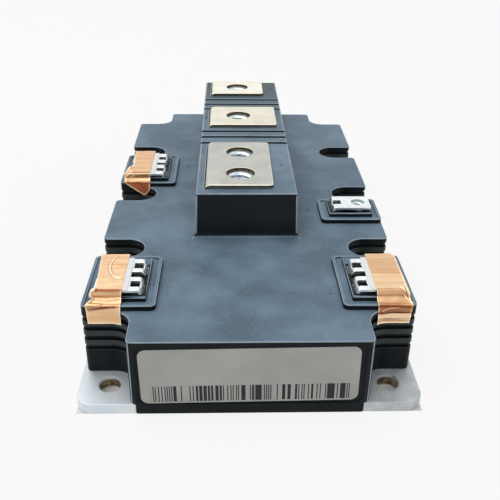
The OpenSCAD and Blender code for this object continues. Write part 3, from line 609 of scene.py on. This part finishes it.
# %% [markdown]
# ## Creased copper tape
#
# Each tape is one strip of foil pressed over a seat's rim and the tabs behind it. Its path is a line
# of points along the module, rounded a little, and every point on the strip is known by its place
# across and its length along the path from the rim. Folds are drawn in those two measures. Each lifts
# the foil by a bell curve and carries painted light: creases get painted shade, ridges and lifted edges
# painted highlights, and bands along the length get both. A Solidify modifier gives the foil its
# thickness.

# %% Paths and folds
def rounded_path(points, count, soften_mm):
    """Points spread evenly along a line, then averaged over soften_mm to round its corners."""
    points = np.array(points, float)
    along = np.r_[0, np.cumsum(np.hypot(*np.diff(points, axis=0).T))]
    even = np.linspace(0, along[-1], count)
    path = np.stack([np.interp(even, along, points[:, i]) for i in (0, 1)], -1)
    reach = max(1, round(soften_mm / (even[1] - even[0])))
    weights = np.hanning(2 * reach + 3)[1:-1]
    padded = np.vstack([2 * path[0] - path[reach:0:-1], path, 2 * path[-1] - path[-2:-reach - 2:-1]])
    return np.stack([np.convolve(padded[:, i], weights / weights.sum(), "valid") for i in (0, 1)], -1)


def bell(distance, width):
    """1 in the middle, falling to a third at the width."""
    return np.exp(-(distance / width) ** 2)


def distance_to(across, along, line):
    """The least distance of each point to a drawn line, from its nearest place on every stretch."""
    nearest = np.full(across.shape, np.inf)
    line = np.array(line, float)
    for a, b in zip(line[:-1], line[1:]):
        share = ((across - a[0]) * (b - a)[0] + (along - a[1]) * (b - a)[1]) / ((b - a) @ (b - a))
        foot = a + np.clip(share, 0, 1)[..., None] * (b - a)
        nearest = np.minimum(nearest, np.hypot(across - foot[..., 0], along - foot[..., 1]))
    return nearest


# %% The strips of tape
TAPE_IN = 33.0
FOIL_T = 0.1
ROWS, COLUMNS = 260, 64


def with_foil_thickness(made, thickness_mm=FOIL_T):
    """Thickens a strip outwards from its grid."""
    thick = made.modifiers.new("foil thickness", "SOLIDIFY")
    thick.thickness = thickness_mm * MM
    thick.offset = 1.0


def tape(name, node, side, path, hang, outer, folds, shade, waves, seed, ear=0.0):
    """A strip along a path of (Y, Z). outer lists its outer edge by length along the path, folds its
    drawn folds as (line, lift, width, tone on it, tone beside it), shade its tone by length; a tone
    above 0 is painted shade and below 0 a painted highlight. Where it hangs down a pocket it follows
    the wall's round end, which is the circle's own height over X. An ear is where its outer edge, past
    the tabs' near end, is bent down by that many millimetres."""
    path = rounded_path(path, ROWS, 0.22)
    step = np.gradient(path, axis=0)
    normal = np.stack([-step[:, 1], step[:, 0]], -1) / np.hypot(*step.T)[:, None]
    along = (np.r_[0, np.cumsum(np.hypot(*np.diff(path, axis=0).T))] - hang)[:, None]
    edge = np.interp(along, *np.array(outer).T)
    x = TAPE_IN + (edge - TAPE_IN) * np.linspace(0, 1, COLUMNS)[None, :]
    s = along + 0 * x
    y, z = (path[:, i:i + 1] + 0 * x for i in (0, 1))
    lift = waves * (1 + np.sin(x * 1.1 + s * 0.7 + seed) * np.sin(x * 0.5 - s * 1.3 + 2 * seed))
    tone = np.interp(s, *np.array(shade).T)
    for line, height, width, mark, beside in folds:
        away = distance_to(x, s, line)
        lift = lift + height * bell(away, width)
        tone = tone + mark * bell(away, width) + beside * bell(away - 1.5 * width, 0.5 * width)
    # Rolled edges are lifted and get a painted highlight.
    rolled = bell(edge - x, 0.3) + bell(x - TAPE_IN, 0.28) * (s < 4.6) + bell(s - s[0, 0], 0.25) * (hang > 0)
    lift, tone = lift + 0.12 * np.clip(rolled, 0, 1), tone - 0.9 * np.clip(rolled, 0, 1)
    bent = ear * bell(s - 6.8, 2.6) * (s > 4.4) * np.clip((x - 40.4) / 1.2, 0, 1) ** 1.5
    down = np.clip((RIM_TOP - z) / (RIM_TOP - DECK), 0, 1) * (s < 0.2) * (hang > 0)
    wall = np.sqrt(POCKET_R ** 2 - np.minimum(x - ROUND_X, 0) ** 2) - POCKET_R
    torn = 0.025 * (np.sin(3.1 * x + seed) + np.sin(7.7 * x)) * np.clip(1 + hang * 0.2 - (s + hang), 0, 1)
    grid = np.stack([side * x, y + normal[:, 0:1] * lift + down * wall,
                     z + normal[:, 1:2] * lift - bent + torn * (hang > 0)], -1)
    flip = slice(None, None, -1 if side > 0 else 1)
    made = surface(name, grid[:, flip], foil, sharp=60.0, tone=tone[:, flip])
    with_foil_thickness(made)
    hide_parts(node)


def seat_path(near_rim, near_tab, far_tab, hang, tab_top, nut_near):
    """Up a pocket's wall by hang, over the rim, straight to the foot of the tabs, up past the corner
    of the first nut, along the tabs, and a little past the last."""
    out, foot = near_rim - 0.04, min(near_tab - 0.12, nut_near - 0.22)
    start = [(out, RIM_TOP + 0.04 - hang), (out, RIM_TOP + 0.04)] if hang else [(out, RIM_TOP + 0.04)]
    return start + [(near_rim + 1.0, RIM_TOP + 0.08), (foot, RIM_TOP + 0.95), (foot, tab_top - 0.7),
                    (near_tab - 0.06, tab_top + 0.04), (far_tab, tab_top + 0.04),
                    (far_tab + 2.9, tab_top - 0.2)]


def tab_span(seat):
    """The near and far edges and the top of a seat's two tabs, in millimetres."""
    first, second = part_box(f"aux_tab_{seat}_1"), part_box(f"aux_tab_{seat}_2")
    return first[0].y / MM, second[1].y / MM, first[1].z / MM


def nut_edge(seat):
    """The near corner of a seat's first nut, in millimetres."""
    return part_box(f"m4_nut_{seat}_1")[0].y / MM


near, far, top = tab_span("front_left")
front_rim = FRONT_POCKET_Y + POCKET_R
print("front tabs from", round(near, 2), "to", round(far, 2), "top", round(top, 2))
turn = np.radians(np.linspace(-88, 48, 24))
nail_mark = np.stack([33.9 + 3.7 * np.cos(turn), 17.2 + 6.6 * np.sin(turn)], -1)
left_folds = [
    (nail_mark, 0.22, 0.22, -0.9, 0.9),
    ([(33.2, 17.3), (39.6, 17.6)], 0.03, 0.5, 0.22, 0.0),
    ([(33.2, 8.0), (36.8, 7.7)], 0.03, 0.35, 0.12, 0.0),
    ([(33.0, 4.75), (39.6, 4.75)], 0.0, 0.28, 0.9, 0.0),
    ([(33.0, 4.2), (39.4, 4.4)], 0.0, 0.55, 0.55, 0.0),
    ([(33.4, 2.5), (36.5, 2.1), (40.2, 2.5)], 0.1, 0.35, -0.15, 0.2),
    ([(33.0, -0.2), (41.6, -0.2)], 0.05, 0.16, 0.6, 0.0),
    ([(34.5, -0.35), (38.0, -0.6), (41.4, -0.85)], 0.0, 0.3, 0.7, 0.0),
    ([(36.5, -0.5), (39.5, -1.0), (41.0, -1.3)], -0.1, 0.3, 0.6, 0.0),
    ([(38.5, 0.1), (41.8, 0.3)], 0.35, 0.6, 0.0, 0.0),
    ([(39.8, 5.0), (41.2, 4.0), (40.5, 2.6), (41.4, 1.0)], 0.5, 0.35, -0.9, 0.5),
]
tape("creased_tape_front_left", "shorting_tape_front_left", -1,
     seat_path(front_rim, near, far, 5.3, top, nut_edge("front_left")), 5.3,
     [(-5.3, 41.7), (0, 41.9), (1.6, 41.0), (2.3, 40.3), (3.4, 41.2), (4.4, 40.9), (5.2, 39.8), (24.0, 40.9)],
     left_folds,
     [(-5.3, 0.03), (-0.5, 0.05), (0.3, 0.2), (3.2, 0.25), (4.0, 0.0), (8.0, -0.15), (24.0, -0.05)],
     0.04, 0.3)
right_folds = [
    ([(33.0, 12.4), (41.4, 12.6)], 0.05, 0.2, 0.35, 0.0),
    ([(33.2, 8.6), (36.4, 8.8)], 0.03, 0.3, 0.15, 0.0),
    ([(33.0, 4.95), (41.0, 5.0)], 0.04, 0.18, 0.4, 0.0),
    ([(39.4, 5.6), (40.4, 4.2)], 0.25, 0.25, -0.9, 0.6),
    ([(40.9, 4.8), (41.5, 2.8)], 0.3, 0.25, -0.9, 0.5),
    ([(40.0, 3.4), (41.2, 1.4), (41.9, 0.4)], 0.25, 0.2, -0.8, 0.5),
    ([(33.0, -0.25), (38.0, -0.3), (41.8, -0.6)], 0.06, 0.25, 0.8, 0.0),
    ([(34.2, -1.6), (36.2, -0.95), (38.6, -0.7)], 0.3, 0.3, -0.4, 0.3),
    ([(33.0, -2.1), (34.6, -2.75), (37.0, -2.4), (41.6, -2.5)], -0.3, 0.28, 0.85, 0.0),
    ([(33.3, -3.5), (41.4, -3.5)], 0.3, 0.7, -0.3, 0.0),
    ([(33.2, -4.85), (41.4, -4.8)], -0.06, 0.15, 0.6, 0.0),
]
tape("creased_tape_front_right", "shorting_tape_front_right", 1,
     seat_path(front_rim, near, far, 5.5, top, nut_edge("front_right")), 5.5,
     [(-5.5, 41.6), (0, 42.1), (5.0, 41.3), (22.0, 41.2), (24.0, 40.6)], right_folds,
     [(-5.5, -0.1), (-2.6, -0.1), (-2.2, 0.75), (-0.4, 0.7), (0.0, 0.3), (3.2, 0.3), (3.6, 0.35), (4.8, 0.3),
      (5.2, -0.25), (12.0, -0.2), (13.0, 0.12), (20.0, 0.15), (24.0, 0.0)], 0.05, 1.9)

near, far, top = tab_span("back_left")
back_folds = [
    ([(33.0, 17.3), (40.0, 17.6)], 0.08, 0.3, 0.35, 0.0),
    ([(33.0, 12.4), (39.8, 12.8)], -0.08, 0.3, 0.3, 0.0),
    ([(33.0, 4.7), (39.2, 4.7)], 0.0, 0.25, 1.0, 0.0),
    ([(33.0, 4.2), (38.6, 4.3)], 0.0, 0.5, 0.35, 0.0),
    ([(39.6, 5.6), (41.5, 7.0), (40.9, 9.2)], 0.15, 0.6, -0.5, 0.3),
    ([(40.2, 3.8), (41.6, 2.6), (41.4, 0.8)], 0.12, 0.45, -0.4, 0.3),
]
tape("creased_tape_back_left", "shorting_tape_back_left", -1,
     seat_path(POCKET_R, near, far, 0.0, top, nut_edge("back_left")), 0.0,
     [(0, 42.0), (5.0, 42.1), (7.5, 41.8), (9.5, 40.8), (11.0, 39.6), (26.0, 40.5)], back_folds,
     [(0.0, 0.1), (3.4, 0.0), (6.0, 0.05), (26.0, 0.05)], 0.06, 4.1, ear=0.7)

# %% [markdown]
# ## The turned-under flap and the liner bands
#
# The back tape's near end was torn and folded under, and hangs over the rim as a dark triangle with
# a painted highlight along its torn edge and painted shade along the fold. It is a grid too: one way
# runs along the fold and the other down by the length that is left there. A pale strip of liner shows
# along the inner edge of every tape.

# %% Flap and liner
def flap(name, fold_x, drops, y, z, tilt):
    """Down from each point of the fold by its own length, tipped outwards by tilt degrees. A painted
    highlight lies within a third of a millimetre of the torn edge and of the end at fold_x[-1], and
    painted shade along the fold."""
    x = np.linspace(fold_x[0], fold_x[-1], 60)[:, None]
    length = np.interp(x, fold_x, drops)
    down = np.linspace(0, 1, 24)[None, :] * length
    lean = math.radians(tilt)
    ripple = 0.12 * np.sin(x * 1.9) * down / 4
    grid = np.stack([x + 0 * down, y - down * math.sin(lean) + ripple, z - down * math.cos(lean)], -1)
    tone = 0.15 - 1.1 * np.maximum(bell(length - down, 0.42), bell(fold_x[-1] - x, 0.4) + 0 * down)
    made = surface(name, grid, foil_back, tone=tone + 0.5 * bell(down, 0.3))
    with_foil_thickness(made)


flap("torn_flap_back_left", [-41.9, -35.2, -34.6, -33.3, -33.0], [0.1, 4.4, 4.35, 2.9, 2.3],
     5.42, RIM_TOP, 28.0)


def liner_band(seat, side):
    """A flat strip on the tabs, from the near tab to the far one, beside the tape's inner edge."""
    near, far, top = tab_span(seat)
    x = np.linspace(31.4, TAPE_IN + 0.4, 6)[None, :]
    y = np.linspace(near + 0.05, far + 0.8, 60)[:, None]
    z = top + 0.02 - np.maximum(y - far, 0) * 0.1 + 0 * x
    made = surface(f"liner_band_{seat}", np.stack([side * x + 0 * y, y + 0 * x, z], -1)[:, ::-side],
                   liner)
    with_foil_thickness(made, 0.05)


for seat, side in (("front_left", -1), ("front_right", 1), ("back_left", -1)):
    liner_band(seat, side)

# %% [markdown]
# ## Moulded numerals
#
# Small raised numerals beside the seats and plates number the connections. They are plain digits.
# Text is turned into a mesh first, and its place is applied to the mesh after, so that the object
# stays at the origin.

# %% Raised digits
DIGITS = [("1", -21.9, -63.5, DECK), ("2", 22.0, -63.8, DECK), ("3", 20.7, -13.1, DECK),
          ("4", -20.7, 24.5, DECK), ("5", 11.6, -9.9, BLOCK_TOP), ("6", -14.2, 38.3, BLOCK_TOP),
          ("7", 12.5, 76.1, BLOCK_TOP)]


def raised_digit(digit, x, y, z, size_mm=2.4, rise_mm=0.12):
    """A digit as a solid letter, centred on its place and standing rise_mm out of the face."""
    curve = bpy.data.curves.new("digit", "FONT")
    curve.body, curve.size, curve.extrude = digit, size_mm * MM, rise_mm * MM
    curve.align_x = curve.align_y = "CENTER"
    shown = bpy.data.objects.new("digit", curve)
    scene.collection.objects.link(shown)
    bpy.context.view_layer.update()
    mesh = bpy.data.meshes.new_from_object(shown.evaluated_get(bpy.context.evaluated_depsgraph_get()))
    bpy.data.objects.remove(shown)
    mesh.transform(Matrix.Translation(Vector((x, y, z)) * MM))
    mesh.materials.clear()
    mesh.materials.append(deck_plastic_painted_sheen)
    made = bpy.data.objects.new(f"raised_digit_{digit}", mesh)
    scene.collection.objects.link(made)
    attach(made, "root")


for row in DIGITS:
    raised_digit(*row)

# %% [markdown]
# ## Floor, light and camera
#
# The module stands on a pale floor in soft light from above and behind, which the satin deck
# reflects. To the camera, and in gloss, the surroundings are plain white; only soft light falls on
# the object. The floor is mixed from white and a lit surface, so that it keeps a faint shadow.

# %% Floor
FOOTPRINT = (44.3 * MM, 85.8 * MM)


def pale_floor():
    """White to the camera and in gloss, mixed with a lit matt surface that shows the shadow. Under
    the module only the matt surface is left, so that the screw holes look down into shade."""
    made = bpy.data.materials.new("matt white floor")
    made.use_nodes = True
    tree = made.node_tree
    tree.nodes.clear()
    paths = add(tree, "ShaderNodeLightPath")
    seen = add(tree, "ShaderNodeMath", links={0: paths.outputs["Is Camera Ray"],
                                              1: paths.outputs["Is Glossy Ray"]}, operation="MAXIMUM")
    share = add(tree, "ShaderNodeMath", {1: 0.85}, {0: seen.outputs[0]}, operation="MULTIPLY")
    axes = add(tree, "ShaderNodeSeparateXYZ", links={
        "Vector": add(tree, "ShaderNodeTexCoord").outputs["Object"]})
    under = [add(tree, "ShaderNodeMath", {1: 0.0, 2: half}, {0: axes.outputs[axis]}, operation="COMPARE")
             for axis, half in zip("XY", FOOTPRINT)]
    shade = add(tree, "ShaderNodeMath", links={0: under[0].outputs[0], 1: under[1].outputs[0]},
                operation="MULTIPLY")
    clear = add(tree, "ShaderNodeMath", {0: 1.0}, {1: shade.outputs[0]}, operation="SUBTRACT")
    share = add(tree, "ShaderNodeMath", links={0: share.outputs[0], 1: clear.outputs[0]},
                operation="MULTIPLY")
    matt = add(tree, "ShaderNodeBsdfDiffuse", {"Color": linear("#f4f4f4")})
    white = add(tree, "ShaderNodeEmission", {"Color": (1, 1, 1, 1), "Strength": 1.0})
    mixed = add(tree, "ShaderNodeMixShader",
                links={0: share.outputs[0], 1: matt.outputs[0], 2: white.outputs[0]})
    add(tree, "ShaderNodeOutputMaterial", links={"Surface": mixed.outputs[0]})
    return made


reach = 6.0
floor_mesh = bpy.data.meshes.new("floor")
floor_mesh.from_pydata([(-reach, -reach, 0), (reach, -reach, 0), (reach, reach, 0), (-reach, reach, 0)], [],
                       [(0, 1, 2, 3)])
floor_mesh.materials.append(pale_floor())
floor = bpy.data.objects.new("floor", floor_mesh)
scene.collection.objects.link(floor)

# %% World and lights
world = bpy.data.worlds.new("white room")
scene.world = world
world.use_nodes = True
sky = world.node_tree
sky.nodes.clear()
paths = add(sky, "ShaderNodeLightPath")
seen = add(sky, "ShaderNodeMath", links={0: paths.outputs["Is Camera Ray"],
                                         1: paths.outputs["Is Glossy Ray"]}, operation="MAXIMUM")
seen = add(sky, "ShaderNodeMath", links={0: seen.outputs[0], 1: paths.outputs["Is Transmission Ray"]},
           operation="MAXIMUM")
strength = add(sky, "ShaderNodeMapRange", {"To Min": 0.5, "To Max": 1.0}, {"Value": seen.outputs[0]})
light = add(sky, "ShaderNodeBackground", {"Color": (1, 1, 1, 1)}, {"Strength": strength.outputs["Result"]})
add(sky, "ShaderNodeOutputWorld", links={"Surface": light.outputs[0]})


def softbox(name, place, aim, size, watts):
    """A square area lamp at a place, turned to face its aim."""
    lamp = bpy.data.lights.new(name, "AREA")
    lamp.shape, lamp.size, lamp.energy = "SQUARE", size, watts
    made = bpy.data.objects.new(name, lamp)
    made.location = place
    made.rotation_euler = (Vector(aim) - Vector(place)).to_track_quat("-Z", "Y").to_euler()
    made.visible_camera = False
    scene.collection.objects.link(made)


softbox("softbox above", (-0.25, 0.15, 1.0), (0, 0, 0.02), 0.9, 4.0)

# %% Camera
CAMERA_PLACE = Vector((-5.3, -223.1, 124.0)) * MM
YAW, PITCH, ROLL = (math.radians(a) for a in (1.94, 29.11, 0.82))
ahead = Vector((math.sin(YAW) * math.cos(PITCH), math.cos(YAW) * math.cos(PITCH), -math.sin(PITCH)))
level = Vector((math.cos(YAW), -math.sin(YAW), 0))
upward = level.cross(ahead)
right = math.cos(ROLL) * level + math.sin(ROLL) * upward
top_way = math.cos(ROLL) * upward - math.sin(ROLL) * level
camera_data = bpy.data.cameras.new("camera")
camera_data.lens, camera_data.sensor_width = 50.76, 36.0
camera_data.clip_start = 0.01
camera = bpy.data.objects.new("camera", camera_data)
camera.matrix_world = Matrix((right, top_way, -ahead)).transposed().to_4x4()
camera.location = CAMERA_PLACE
scene.collection.objects.link(camera)
scene.camera = camera
scene.view_settings.view_transform = "Standard"
